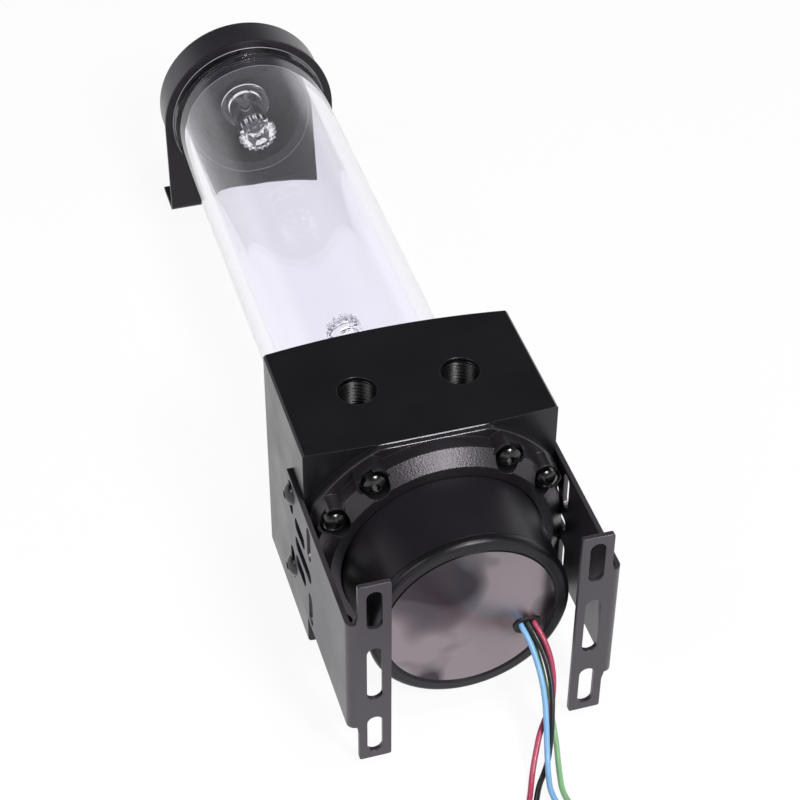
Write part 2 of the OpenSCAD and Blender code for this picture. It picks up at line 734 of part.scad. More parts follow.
module wire_blue() color("#8fb8e6") {
    swept(lead_blue, wr);
    swept(tail(signal_x, coil_base + coil_rise, blue_pin_x, signal_pin_z), wr);
}

module wire_green() color("#4f8f58") {
    swept(lead_green, wr);
    swept(tail(signal_x, coil_base + lay + coil_rise, green_pin_x, signal_pin_z), wr);
}

module coil(x) {
    translate([x, coil_y, tie_t]) rotate_extrude() translate([coil_r - wr, 0]) square([wire_dia, coil_h]);
}

module coil_power() color("#6b2a33") coil(power_coil_x);

module coil_signal() color("#6f93b8") coil(signal_coil_x);

// A flat tie round the far side of each coil
module coil_ties() color("#e4e4e0") for (x = [power_coil_x, signal_coil_x])
    translate([x - 1.2, coil_y - coil_r, tie_t + coil_h / 2]) rotate([90, 0, 90]) linear_extrude(2.4) difference() {
        rounded_2d(wire_dia + 1.2 + 2 * tie_t, coil_h + 2 * tie_t, 0.8);
        square([wire_dia + 1.2, coil_h], center = true);
    }

module plug_power() color("#1b1b1d") {
    w = 21;
    l = 20;
    h = 8.4;
    difference() {
        union() {
            translate([power_plug_x, plug_y - l / 2, 0]) rounded_box([w, l, h], 1);
            for (s = [-1, 1]) translate([power_plug_x + s * 6 - 1.5, plug_y - l + 2, h - eps]) cube([3, l - 6, 0.8]);
        }
        for (i = [0 : 3]) translate([power_plug_x + (i - 1.5) * power_pitch, plug_y - l - 1, power_pin_z])
            rotate([-90, 0, 0]) cylinder(d = 3.6, h = l - 3, $fn = 32);
        for (x = [red_pin_x, black_pin_x]) translate([x, plug_y - 5, power_pin_z]) rotate([-90, 0, 0]) cylinder(r = wr + 0.05, h = 6, $fn = 24);
    }
}

module plug_power_pins() color("#c9a24a")
    for (x = [red_pin_x, black_pin_x]) translate([x, plug_y - 19, power_pin_z]) rotate([-90, 0, 0]) difference() {
        cylinder(d = 3.6, h = 15, $fn = 32);
        translate([0, 0, -1]) cylinder(d = 2.2, h = 13, $fn = 32);
    }

module plug_signal() color("#1b1b1d") {
    w = 10.2;
    l = 11.5;
    h = 5.8;
    difference() {
        union() {
            translate([signal_plug_x, plug_y - l / 2, 0]) rounded_box([w, l, h], 0.5);
            translate([signal_plug_x - 2.2, plug_y - l + 1.5, h - eps]) cube([4.4, l - 3, 0.9]);
        }
        for (i = [0 : 3]) translate([signal_plug_x + (i - 1.5) * signal_pitch - 0.6, plug_y - l - 1, signal_pin_z - 0.6])
            cube([1.2, l - 2, 1.2]);
        for (x = [blue_pin_x, green_pin_x]) translate([x, plug_y - 4, signal_pin_z]) rotate([-90, 0, 0]) cylinder(r = wr + 0.05, h = 5, $fn = 24);
    }
}

module plug_signal_pins() color("#c9a24a")
    for (x = [blue_pin_x, green_pin_x]) translate([x - 0.6, plug_y - 10.5, signal_pin_z - 0.6]) cube([1.2, 7.5, 1.2]);

// ---------------------------------------------------------------- assembly

pump_block();
reservoir_tube();
tube_seal();
reservoir_cap();
cap_seal();
light_plug();
light_plug_seal();
light_riser();
top_bracket();
bracket_left();
bracket_right();
bracket_screws_left();
bracket_screws_right();
clamp_ring();
clamp_screws();
pump_seal();
separation_pot();
bearing_post();
bearing_ball();
impeller();
rotor_magnet();
pump_housing();
stator_core();
stator_windings();
control_board();
motor_end_cap();
label_disc();
wire_grommet();
wire_red();
wire_black();
wire_blue();
wire_green();
coil_power();
coil_signal();
coil_ties();
plug_power();
plug_power_pins();
plug_signal();
plug_signal_pins();
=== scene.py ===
# %% [markdown]
# A coolant pump with its reservoir, dressed for a picture.
#
# The object is a clear tube for the coolant, the square black block that it screws into, and a
# round motor that a clamp ring holds on the block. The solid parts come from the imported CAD
# model. This file adds what a solid model leaves out: the wires, the threads, the polished
# surfaces, the materials, the light and the camera.

import bpy
import numpy as np
from mathutils import Matrix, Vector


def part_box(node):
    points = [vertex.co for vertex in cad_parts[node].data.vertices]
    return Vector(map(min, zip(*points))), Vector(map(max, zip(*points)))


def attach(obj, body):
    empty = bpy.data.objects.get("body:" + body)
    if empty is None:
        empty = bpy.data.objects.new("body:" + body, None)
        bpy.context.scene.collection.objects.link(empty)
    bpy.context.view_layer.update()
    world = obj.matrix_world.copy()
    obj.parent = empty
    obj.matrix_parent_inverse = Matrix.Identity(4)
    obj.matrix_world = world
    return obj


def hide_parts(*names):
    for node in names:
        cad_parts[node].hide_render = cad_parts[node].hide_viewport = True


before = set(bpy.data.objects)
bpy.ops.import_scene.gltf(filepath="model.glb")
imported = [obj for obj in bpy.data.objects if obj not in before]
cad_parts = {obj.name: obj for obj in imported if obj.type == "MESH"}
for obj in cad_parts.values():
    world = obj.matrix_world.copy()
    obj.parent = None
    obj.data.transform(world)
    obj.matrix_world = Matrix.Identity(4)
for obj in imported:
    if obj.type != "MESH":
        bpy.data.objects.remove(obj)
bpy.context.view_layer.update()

# %% [markdown]
# Every size below is in millimetres, as on a maker's drawing, and one factor turns it into
# the metres that Blender uses. Places could be typed in again here. Reading them from a part's
# own box is safer, because a piece made here then lands where the solid part is.

# %% Units and places
MM = 0.001


def corner(node, which, axis):
    """One coordinate of a part's box in millimetres: which is 0 for low and 1 for high."""
    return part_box(node)[which][axis] / MM


AXIS_Z = (corner("reservoir_tube", 0, 2) + corner("reservoir_tube", 1, 2)) / 2
PORT_FACE_Z = corner("pump_block", 1, 2)
print("height of the common axis:", round(AXIS_Z, 2), "mm")

# %% [markdown]
# The camera comes first, because what it sees decides where the slack of the wires may lie.
# It looks down on the motor end at about 41 degrees through a long lens, which keeps straight
# edges from splaying. It could be aimed with a constraint. Three angles say the same and can be
# read off. A camera looks along its own -Z, so its axes are written as the columns of a matrix:
# right, up and backwards.

# %% Camera
# Angles in radians, place in metres
TURN = -0.294825
TILT = 0.720014
ROLL = 0.006121
PLACE = (-0.14355, -0.46355, 0.49761)
LENS = 94.1
SENSOR = 36


def aim(turn, tilt, roll):
    """The camera's rotation: columns are right, up and back, for a turn about Z from +Y,
    a tilt below the horizon and a roll about the line of sight."""
    forward = np.array([-np.sin(turn) * np.cos(tilt), np.cos(turn) * np.cos(tilt), -np.sin(tilt)])
    level = np.array([np.cos(turn), np.sin(turn), 0.0])
    upright = np.cross(level, forward)
    right = np.cos(roll) * level + np.sin(roll) * upright
    up = np.cos(roll) * upright - np.sin(roll) * level
    return Matrix(np.column_stack([right, up, -forward]).tolist())


lens = bpy.data.cameras.new("camera")
lens.sensor_width = SENSOR
lens.lens = LENS
camera = bpy.data.objects.new("camera", lens)
camera.matrix_world = Matrix.Translation(PLACE) @ aim(TURN, TILT, ROLL).to_4x4()
bpy.context.collection.objects.link(camera)
bpy.context.scene.camera = camera
print("lens:", lens.lens, "mm, looking down at", round(np.degrees(TILT), 1), "degrees")

# %% [markdown]
# Colours are written as the hex values of a paint chart. A renderer adds light in linear
# values, so one function turns the chart's value into that.

# %% Colour
def colour(chart):
    """Turn an sRGB hex string into linear red, green, blue and an alpha of 1. Low values are
    divided by 12.92, and the others follow a power of 2.4."""
    value = np.array([int(chart[i:i + 2], 16) for i in (0, 2, 4)]) / 255
    linear = np.where(value <= 0.04045, value / 12.92, ((value + 0.055) / 1.055) ** 2.4)
    return (*linear.tolist(), 1.0)


print("the chart's middle grey is", round(colour("808080")[0], 3), "in linear light")

# %% [markdown]
# A material is a small graph of nodes. One helper adds a node, sets its options and fills its
# sockets, each with a plain value or with the output of an earlier node. A second one starts a
# material, and a third sets what is the same all over a surface.

# %% Node helpers
def add(tree, kind, sockets=(), **options):
    """Add one node. sockets is a list of (name or number, value or output socket)."""
    node = tree.nodes.new(kind)
    for key, value in options.items():
        setattr(node, key, value)
    for name, value in sockets:
        if isinstance(value, bpy.types.NodeSocket):
            tree.links.new(value, node.inputs[name])
        else:
            node.inputs[name].default_value = value
    return node


def blank(name):
    """A new material with one Principled shader and its output. Returns material and shader."""
    material = bpy.data.materials.new(name)
    material.use_nodes = True
    material.node_tree.nodes.clear()
    shader = add(material.node_tree, "ShaderNodeBsdfPrincipled")
    add(material.node_tree, "ShaderNodeOutputMaterial", [("Surface", shader.outputs["BSDF"])])
    return material, shader


def fill(shader, **values):
    """Set constants on the shader's own sockets; an underscore in a name stands for a space."""
    for name, value in values.items():
        shader.inputs[name.replace("_", " ")].default_value = value


print("materials so far:", len(bpy.data.materials))

# %% [markdown]
# Moulded, cast and coated surfaces are never quite even. The grain could be modelled or
# painted, but a noise costs nothing and has no seams. A fine noise moves the height for the
# grain, and a broad one moves the roughness, as handling and wear do. A size in millimetres
# becomes a noise scale, because the texture space here is in metres. Real grain on these
# finishes is 0.1 to 0.3 mm wide, too fine to show, so it is drawn two to four times as coarse.

# %% Grain
PATCH = 30.0
# Most of a noise's values lie between these two
NOISE_LOW, NOISE_HIGH = 0.3, 0.7


def per_metre(size_mm):
    """The noise scale that gives cells of this size."""
    return 1 / (size_mm * MM)


def grain(material, shader, size_mm, height_mm, rough, spread, edge_mm=0.0):
    """Height from noise with cells of size_mm, and roughness that wanders by spread about
    rough over patches PATCH times as large. edge_mm rounds the look of sharp edges."""
    tree = material.node_tree
    place = add(tree, "ShaderNodeTexCoord").outputs["Object"]
    fine = add(tree, "ShaderNodeTexNoise", [
        ("Vector", place), ("Scale", per_metre(size_mm)), ("Detail", 2.0)])
    broad = add(tree, "ShaderNodeTexNoise", [
        ("Vector", place), ("Scale", per_metre(PATCH * size_mm)), ("Detail", 3.0)])
    level = add(tree, "ShaderNodeMapRange", [
        ("Value", broad.outputs["Fac"]), ("From Min", NOISE_LOW), ("From Max", NOISE_HIGH),
        ("To Min", rough - spread), ("To Max", rough + spread)])
    relief = add(tree, "ShaderNodeBump", [
        ("Height", fine.outputs["Fac"]), ("Distance", height_mm * MM), ("Strength", 1.0)])
    if edge_mm:
        soft = add(tree, "ShaderNodeBevel", [("Radius", edge_mm * MM)], samples=4)
        tree.links.new(soft.outputs["Normal"], relief.inputs["Normal"])
    tree.links.new(level.outputs["Result"], shader.inputs["Roughness"])
    tree.links.new(relief.outputs["Normal"], shader.inputs["Normal"])


def coated(name, chart, size_mm, height_mm, rough, spread=0.05, edge_mm=0.0, **values):
    """A solid-coloured finish with grain."""
    material, shader = blank(name)
    fill(shader, Base_Color=colour(chart), **values)
    grain(material, shader, size_mm, height_mm, rough, spread, edge_mm)
    return material


print("a grain of 0.5 mm is a noise scale of", round(per_metre(0.5)))

# %% [markdown]
# Four thin wires leave the motor through a rubber grommet. Each was laid as a list of points, one
# by one, because gravity and the stiffness of the wire decide the drop: out of the grommet, down
# to the floor and towards a coil. The points are the wire's centre, so a wire that lies on the
# floor is at the height of its own radius.

# %% Waypoints of the wires
WIRE_R = 0.9
LEADS = {
    "wire_red": [
        (20.4, -62, 32.2), (20.4, -65.4, 32.1), (21.5, -68.2, 30), (22.6, -71.6, 26.4),
        (22.9, -75, 22), (22.4, -78, 17.4), (20.6, -81.4, 13.2), (17.7, -84.4, 10.6),
        (15, -87.8, 8.9), (12.9, -91.2, 6.5), (10.9, -94.6, 3.8), (9.2, -98, 1.7),
        (7.6, -101.6, 0.9), (5.2, -106.6, 0.9), (2.4, -112.6, 0.9), (-0.4, -119, 0.9),
        (-2.4, -126, 0.9), (-3.2, -133, 1.1)],
    "wire_black": [
        (18.3, -62, 32.8), (18.3, -65.4, 32.7), (19.3, -68.6, 30.8), (20.6, -72.2, 27.2),
        (21.2, -76.6, 22.8), (20.8, -81, 18.2), (19.6, -85.2, 13.4), (18.4, -88.6, 8.8),
        (17.2, -91, 4.8), (15.8, -93.4, 2), (13.6, -96.4, 0.9), (11, -100, 0.9),
        (8.6, -104.4, 0.9), (6, -110, 1.4), (3.4, -116, 2.4), (0.4, -122.6, 2.9),
        (-2, -129, 2.9), (-3.1, -134.6, 3)],
    "wire_blue": [
        (16.2, -62, 32.2), (16.2, -65.4, 32.1), (17.1, -68.6, 30.2), (17.9, -72.4, 27),
        (18.2, -77.4, 23.2), (18, -82.2, 18.6), (17.1, -87, 13.6), (16, -91.4, 8.6),
        (15, -95.4, 5), (13.9, -99.6, 3.4), (13, -104.4, 2.8), (13.6, -110, 2),
        (15.6, -116.5, 1), (18.4, -123, 0.9), (21.8, -129, 0.9), (24.4, -134.6, 1.1)],
    "wire_green": [
        (18.3, -62, 30.2), (18.3, -65.4, 30.1), (18.8, -68.2, 28), (19.6, -71, 24.2),
        (20.3, -74, 19.2), (20.7, -77.2, 14.2), (20.9, -80.6, 9.8), (20.8, -84.6, 6.2),
        (20.2, -89, 3.6), (19.2, -93.4, 1.8), (18, -98.6, 0.9), (17, -103.6, 0.9),
        (17.2, -109.4, 1.4), (18.8, -115.6, 2.4), (21, -121.6, 2.9), (23.2, -127.6, 2.9),
        (24.8, -133.6, 3.05)],
}
print("laid points:", {name: len(points) for name, points in LEADS.items()})

# %% [markdown]
# Each wire is about 40 cm long, and a maker winds up most of that: four turns, two wires side
# by side, held by a tie. A coil is a helix, so its points are worked out from its angle, and
# the turns of a pair then lie a wire's width apart. The tail comes down from the top turn to
# its pin.

# %% Coils and plugs
TURNS = 4
STEPS_PER_TURN = 16
# Distance between the centres of wires that touch
LAY = 1.85
TIE_THICKNESS = 0.4
COIL_R = 10.7
COIL_Y = -140.0
POWER_COIL_X = -14.0
SIGNAL_COIL_X = 36.0
PLUG_Y = -172.0
POWER_PLUG_X, POWER_PITCH, POWER_PIN_Z = 1.8, 5.08, 4.2
SIGNAL_PLUG_X, SIGNAL_PITCH, SIGNAL_PIN_Z = 22.76, 2.54, 3.1
RISE = TURNS * 2 * LAY

# name: coil centre in X, side of the coil where the wire arrives, place in the pair, pin in X and Z
PLACES = {
    "wire_red": (POWER_COIL_X, 1, 0, POWER_PLUG_X - 1.5 * POWER_PITCH, POWER_PIN_Z),
    "wire_black": (POWER_COIL_X, 1, 1, POWER_PLUG_X - 0.5 * POWER_PITCH, POWER_PIN_Z),
    "wire_blue": (SIGNAL_COIL_X, -1, 0, SIGNAL_PLUG_X + 1.5 * SIGNAL_PITCH, SIGNAL_PIN_Z),
    "wire_green": (SIGNAL_COIL_X, -1, 1, SIGNAL_PLUG_X + 0.5 * SIGNAL_PITCH, SIGNAL_PIN_Z),
}
print("each coil is", round(RISE + LAY + 2 * WIRE_R, 1), "mm high")


# %% Routes
def coil_turns(centre, side, start_z):
    """The helix: the angle runs through the turns, the height rises in step with it, and the
    sense of turning is the one in which a wire that comes towards -Y meets the coil."""
    sweep = np.linspace(0, 2 * np.pi * TURNS, TURNS * STEPS_PER_TURN + 1)
    angle = -sweep if side > 0 else np.pi + sweep
    x = centre + COIL_R * np.cos(angle)
    y = COIL_Y + COIL_R * np.sin(angle)
    z = start_z + RISE * sweep / sweep[-1]
    return np.column_stack([x, y, z])


def tail(x, z, pin_x, pin_z):
    """From the top of the coil down to the plug: shares of the way in X and Z at given depths."""
    return np.array([
        (x + 0.5 * (pin_x - x), COIL_Y - 5, z - 0.4),
        (x + 0.9 * (pin_x - x), COIL_Y - 11, z - 0.26 * (z - pin_z) - 0.6),
        (pin_x, COIL_Y - 18, z - 0.66 * (z - pin_z) - 0.5),
        (pin_x, COIL_Y - 25, pin_z + 0.08 * (z - pin_z)),
        (pin_x, PLUG_Y, pin_z),
    ])


def route(name):
    """The whole centreline of one wire in millimetres: the laid points, the coil, the tail."""
    centre, side, place, pin_x, pin_z = PLACES[name]
    start_z = TIE_THICKNESS + WIRE_R + place * LAY
    turns = coil_turns(centre, side, start_z)
    return np.vstack([LEADS[name], turns, tail(centre + side * COIL_R, start_z + RISE, pin_x, pin_z)])


print("points on the red wire:", len(route("wire_red")))

# %% [markdown]
# A wire could be swept as a mesh. A curve with a round section does that by itself and stays
# smooth between the points. The insulation is soft PVC, drawn over the strands. It gives the
# eye a clear colour with a long soft highlight. Its slow ripple is drawn about as coarse as the
# wire is thick, because the real one is too fine to show.


def wire(name, material, coil_node):
    """One open Bezier curve with automatic handles through the route, given a round section."""
    points = route(name) * MM
    line = bpy.data.curves.new(name + "_line", "CURVE")
    line.dimensions = "3D"
    line.bevel_depth = WIRE_R * MM
    line.bevel_resolution = 3
    line.resolution_u = 5
    line.use_fill_caps = True
    spline = line.splines.new("BEZIER")
    spline.bezier_points.add(len(points) - 1)
    spline.bezier_points.foreach_set("co", points.ravel())
    for knot in spline.bezier_points:
        knot.handle_left_type = "AUTO"
        knot.handle_right_type = "AUTO"
    piece = bpy.data.objects.new(name + "_lead", line)
    bpy.context.collection.objects.link(piece)
    line.materials.append(material)
    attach(piece, "pump")
    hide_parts(name, coil_node)


INSULATION = {"wire_red": "a83f5a", "wire_black": "141416", "wire_blue": "78a9d4", "wire_green": "80ae7e"}
for name, chart in INSULATION.items():
    skin = coated("pvc_" + name.removeprefix("wire_"), chart, size_mm=1.2, height_mm=0.01, rough=0.34,
                  IOR=1.53)
    kind = "power" if name in ("wire_red", "wire_black") else "signal"
    wire(name, skin, "coil_" + kind)

# %% [markdown]
# The block and the cap are acetal, a hard and waxy plastic that is black all through. The block
# is milled and the cap is turned. Both could be one plain black, but a cutter leaves faint
# marks that spread a highlight, and it leaves edges that are just off sharp. The highlights on
# all the black parts are a touch violet, and one tint gives them that.

# %% Acetal
def finish_nodes(material, *nodes):
    """Give CAD parts a material in place of their plain one."""
    for node in nodes:
        for holder in bpy.data.objects[node].material_slots:
            holder.material = material
    print(material.name, "on", ", ".join(nodes))


TINT = colour("ddd5de")
ACETAL_BLACK = "121215"
# Milled faces give broad soft reflections that fade across the block
milled = {"size_mm": 0.5, "height_mm": 0.004, "rough": 0.31, "spread": 0.04, "IOR": 1.53,
          "Specular_Tint": TINT}
acetal = coated("acetal_milled", ACETAL_BLACK, edge_mm=0.15, **milled)
finish_nodes(acetal, "pump_block")
# Turning leaves a finer, slightly greyer skin, with a broken edge that draws a thin line
turned = coated("acetal_turned", "27252a", size_mm=0.4, height_mm=0.003, rough=0.3, spread=0.04,
                edge_mm=0.35, IOR=1.48, Specular_Tint=TINT)
finish_nodes(turned, "reservoir_cap")

# %% [markdown]
# The brackets are steel sheet under a powder coat. The powder melts into a skin with a slight
# orange peel, which blurs what it mirrors and rounds the cut edges. That roundness is a Bevel
# node here, because a real fillet round every slot would be many faces for the same look.

# %% Powder coat
# A satin charcoal: flat faces go from near black to mid grey as they turn to the light
powder = coated("powder_coat_charcoal", "302d32", size_mm=0.9, height_mm=0.02, rough=0.36, spread=0.04,
                edge_mm=0.5, IOR=1.52, Specular_IOR_Level=1.0, Specular_Tint=TINT)
finish_nodes(powder, "bracket_left", "bracket_right")
# The upper bracket has the same coat, made blacker here as painted shade, because the floor that it
# mirrors lies in the object's shadow; its peel is drawn finer
shaded_coat = coated("powder_coat_painted_shade", "131216", size_mm=0.9, height_mm=0.012, rough=0.36, spread=0.04,
                   edge_mm=0.5, IOR=1.5, Specular_Tint=TINT)
finish_nodes(shaded_coat, "top_bracket")

# %% [markdown]
# The ring is cast and sprayed with a textured paint, and its screws are steel, blackened in hot
# oxide. The spray's grit could come from a displaced mesh. At this size a bump looks the same.
# The grit is about 0.2 mm in life and is drawn three times as coarse, so that it shows.

# %% Spray and black oxide
# A gritty sheen: the bevel glitters where it faces the lamp
textured = coated("textured_spray", "121114", size_mm=0.6, height_mm=0.1, rough=0.4, spread=0.04,
                  edge_mm=0.3, IOR=1.5, Specular_IOR_Level=1.0, Specular_Tint=TINT)
finish_nodes(textured, "clamp_ring")
# A deep oily black with one small sharp highlight on each domed head
oxide = coated("black_oxide_steel", "090909", size_mm=0.3, height_mm=0.003, rough=0.2, spread=0.04,
               edge_mm=0.2, IOR=1.6)
finish_nodes(oxide, "bracket_screws_left", "bracket_screws_right", "clamp_screws")

# %% [markdown]
# The motor's can and its end cap are moulded from PBT, a plastic that stands heat. A mould is
# spark-eroded, which gives the can its matt skin, and the rim is polished a little. One
# roughness for both would be simpler, but the rim's brighter line is what shows its roundness.

# %% Motor
# Matt and faintly warm, it holds almost no reflection
moulded = coated("moulded_pbt", "18161a", size_mm=0.35, height_mm=0.006, rough=0.4, spread=0.04,
                 edge_mm=0.3, IOR=1.45, Specular_Tint=TINT)
finish_nodes(moulded, "pump_housing")
# Smoother, so that its rounded edge draws a soft bright arc
rim = coated("moulded_rim", "101012", size_mm=0.3, height_mm=0.004, rough=0.33, spread=0.04,
             edge_mm=0.5, IOR=1.5, Specular_Tint=TINT)
finish_nodes(rim, "motor_end_cap")

# %% [markdown]
# The small parts: nitrile seals, nylon plugs, a polyethylene tie round each coil, and pins of
# tinned brass. Each gets its own finish, because rubber, plastic and metal part from each other
# by gloss long before they do by colour.

# %% Seals, plugs and pins
# Rubber: nearly no gloss, a dull black line round each joint
nitrile = coated("nitrile_rubber", "111111", size_mm=0.4, height_mm=0.006, rough=0.55, IOR=1.52)
finish_nodes(nitrile, "tube_seal", "cap_seal", "light_plug_seal", "pump_seal", "wire_grommet")
# Nylon: a grey-black with the soft gloss of a small moulding
nylon = coated("moulded_nylon", "18181a", size_mm=0.4, height_mm=0.006, rough=0.42, IOR=1.53)
finish_nodes(nylon, "plug_power", "plug_signal")
# Polyethylene: milky white and soft to look at
tie = coated("polyethylene_tie", "dcdcd6", size_mm=0.5, height_mm=0.01, rough=0.45, IOR=1.5)
finish_nodes(tie, "coil_ties")
# Tinned brass: pale gold with a satin mirror
contact = coated("tinned_brass", "b9a468", size_mm=0.3, height_mm=0.002, rough=0.3, Metallic=1.0)
finish_nodes(contact, "plug_power_pins", "plug_signal_pins")

# %% [markdown]
# Inside the closed motor nothing shows, but the parts are dressed as well, because someone may
# take the model apart. On the wet side are the impeller, its magnet, and the ceramic ball that
# it turns on, in a thin plastic pot. On the dry side are steel, copper and the circuit board.

# %% Finishes inside the pump
# Sintered ferrite: a dense dull grey
ferrite = coated("sintered_ferrite", "2d2d30", size_mm=0.4, height_mm=0.01, rough=0.55, IOR=1.7)
finish_nodes(ferrite, "rotor_magnet")
# Glass-filled nylon, undyed: the colour of bone, slightly mottled
natural = coated("glass_filled_nylon", "c9c7be", size_mm=0.5, height_mm=0.01, rough=0.45, IOR=1.53)
finish_nodes(natural, "impeller")
# Moulded PPS: a plain mid grey with a low sheen
can_plastic = coated("moulded_pps", "7d7f84", size_mm=0.4, height_mm=0.006, rough=0.42, IOR=1.6)
finish_nodes(can_plastic, "separation_pot", "bearing_post")
# Polished alumina: white with a small hard highlight
ceramic = coated("polished_alumina", "efece4", size_mm=0.6, height_mm=0.001, rough=0.14, spread=0.03,
                 IOR=1.76)
finish_nodes(ceramic, "bearing_ball")
# Stamped electrical steel: a satin grey metal
laminate = coated("electrical_steel", "8b8d92", size_mm=0.35, height_mm=0.01, rough=0.36, spread=0.06,
                  Metallic=1.0)
finish_nodes(laminate, "stator_core")
# Enamelled copper: reddish, its bump as coarse as a strand of the winding
copper = coated("enamelled_copper", "b5673a", size_mm=0.5, height_mm=0.03, rough=0.3, Metallic=1.0)
finish_nodes(copper, "stator_windings")
# Solder mask: a glossy dark green over the board
solder_mask = coated("solder_mask", "1c5a35", size_mm=0.6, height_mm=0.006, rough=0.3, IOR=1.5)
finish_nodes(solder_mask, "control_board")

# %% [markdown]
# The round plate on the motor's end is a polyester film with a vapour of aluminium on it, and
# is bare. It could be a plain mirror, but the film is stuck on by hand, so it isn't quite flat.
# One broad noise darkens it in soft clouds, and another bends what it mirrors. It gives the eye
# a silvery face with soft dark clouds.

# %% Metallised film
CLOUD_MM = 26
WAVE_MM = 9
WAVE_HEIGHT_MM = 0.012

foil, foil_shader = blank("metallised_film")
fill(foil_shader, Metallic=1.0, Roughness=0.2)
tree = foil.node_tree
place = add(tree, "ShaderNodeTexCoord").outputs["Object"]
cloud = add(tree, "ShaderNodeTexNoise", [
    ("Vector", place), ("Scale", per_metre(CLOUD_MM)), ("Detail", 1.5), ("Distortion", 0.5)])
# The ramp runs from the dark clouds to the pale face of the film
tone = add(tree, "ShaderNodeValToRGB", [("Fac", cloud.outputs["Fac"])])
cloud_dark, cloud_pale = tone.color_ramp.elements
cloud_dark.position, cloud_dark.color = 0.38, colour("484148")
cloud_pale.position, cloud_pale.color = 0.5, colour("93898f")
wave = add(tree, "ShaderNodeTexNoise", [
    ("Vector", place), ("Scale", per_metre(WAVE_MM)), ("Detail", 1.0)])
relief = add(tree, "ShaderNodeBump", [
    ("Height", wave.outputs["Fac"]), ("Distance", WAVE_HEIGHT_MM * MM), ("Strength", 1.0)])
tree.links.new(tone.outputs["Color"], foil_shader.inputs["Base Color"])
tree.links.new(relief.outputs["Normal"], foil_shader.inputs["Normal"])
finish_nodes(foil, "label_disc")

# %% [markdown]
# The tube is extruded acrylic, polished, and clear enough that its far wall shows. Light bends
# through it, so its wall must be a closed volume with true thickness. Extrusion leaves a slow
# ripple in the wall, far too low to feel, which makes straight reflections waver a little. A
# flat clear finish would look like glass.

# %% Acrylic
RIPPLE_MM = 14
RIPPLE_HEIGHT_MM = 0.02


def acrylic(name, chart, rough):
    """Clear acrylic: full transmission, a faint colour, and the ripple as a bump."""
    material, shader = blank(name)
    fill(shader, Base_Color=colour(chart), Roughness=rough, IOR=1.49, Transmission_Weight=1.0)
    tree = material.node_tree
    place = add(tree, "ShaderNodeTexCoord").outputs["Object"]
    ripple = add(tree, "ShaderNodeTexNoise", [
        ("Vector", place), ("Scale", per_metre(RIPPLE_MM)), ("Detail", 1.0)])
    relief = add(tree, "ShaderNodeBump", [
        ("Height", ripple.outputs["Fac"]), ("Distance", RIPPLE_HEIGHT_MM * MM), ("Strength", 1.0)])
    tree.links.new(relief.outputs["Normal"], shader.inputs["Normal"])
    print(name, "has an IOR of", round(shader.inputs["IOR"].default_value, 2))
    return material


# Extruded: the faintest cold tint. Moulded: clearer, but not quite as smooth.
tube_acrylic = acrylic("acrylic_tube", "f9f8ff", 0.0)
plug_acrylic = acrylic("acrylic_moulded", "fdfdff", 0.03)

# %% [markdown]
# Every new piece below is a grid of points, worked out as whole arrays, with a mesh laid over
# it. Blender's own cylinders and modifiers could make some of them. A formula says exactly
# where each point is, and one function can then close every kind of piece.

# %% Surfaces from a grid
def surface(name, points, material, body, rows_closed=False):
    """A mesh from a grid of points in millimetres. Columns always close on themselves. Rows do
    so if rows_closed, and else a fan of triangles round the mean of the first and of the last
    row closes the ends. Faces are turned over if the volume that they enclose, a sixth of the
    sum of triple products, comes out negative."""
    index = np.arange(points.shape[0] * points.shape[1]).reshape(points.shape[:2])
    if rows_closed:
        index = np.vstack([index, index[:1]])
    index = np.hstack([index, index[:, :1]])
    sides = [index[:-1, :-1], index[:-1, 1:], index[1:, 1:], index[1:, :-1]]
    faces = np.stack(sides, axis=-1).reshape(-1, 4)
    flat = points.reshape(-1, 3)
    a, b, c, d = (flat[faces[:, k]] for k in range(4))
    volume = ((np.cross(a, b) * c).sum() + (np.cross(a, c) * d).sum()) / 6
    fans = np.empty((0, 3), dtype=int)
    if not rows_closed:
        count = len(flat)
        flat = np.vstack([flat, points[0].mean(axis=0), points[-1].mean(axis=0)])
        first, last = index[0], index[-1]
        low_fan = np.column_stack([np.full(len(first) - 1, count), first[1:], first[:-1]])
        high_fan = np.column_stack([np.full(len(last) - 1, count + 1), last[:-1], last[1:]])
        fans = np.vstack([low_fan, high_fan])
    if volume < 0:
        faces, fans = faces[:, ::-1], fans[:, ::-1]
    mesh = bpy.data.meshes.new(name)
    mesh.from_pydata((flat * MM).tolist(), [], faces.tolist() + fans.tolist())
    mesh.polygons.foreach_set("use_smooth", np.ones(len(mesh.polygons), dtype=bool))
    mesh.materials.append(material)
    piece = bpy.data.objects.new(name, mesh)
    bpy.context.collection.objects.link(piece)
    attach(piece, body)
    print(name, "has", len(faces), "faces and encloses", round(abs(volume)), "cubic mm")
    return piece


# %% [markdown]
# A turned part is a profile carried round an axis. The profile is a loop of radius and place
# along the axis, so the wall has its real thickness. Smooth shading would smear every corner
# over the long faces beside it, so each corner is cut back a little, and a support point close
# to it on each side keeps the long faces flat.

# %% Profiles and turning
def cut_corners(here, before, after, cut, keep):
    """Each corner becomes four points, at cut + keep and at cut back towards the corner before
    it, and at cut and at cut + keep on towards the corner after it."""
    before = before / np.linalg.norm(before[:, :2], axis=1, keepdims=True)
    after = after / np.linalg.norm(after[:, :2], axis=1, keepdims=True)
    steps = [before * (cut + keep), before * cut, after * cut, after * (cut + keep)]
    return np.stack([here + step for step in steps], axis=1).reshape(-1, here.shape[1])


def broken_edges(corners, cut, keep):
    """A closed loop of (radius, place) corners with every corner cut."""
    here = np.array(corners, dtype=float)
    return cut_corners(here, np.roll(here, 1, axis=0) - here, np.roll(here, -1, axis=0) - here, cut, keep)


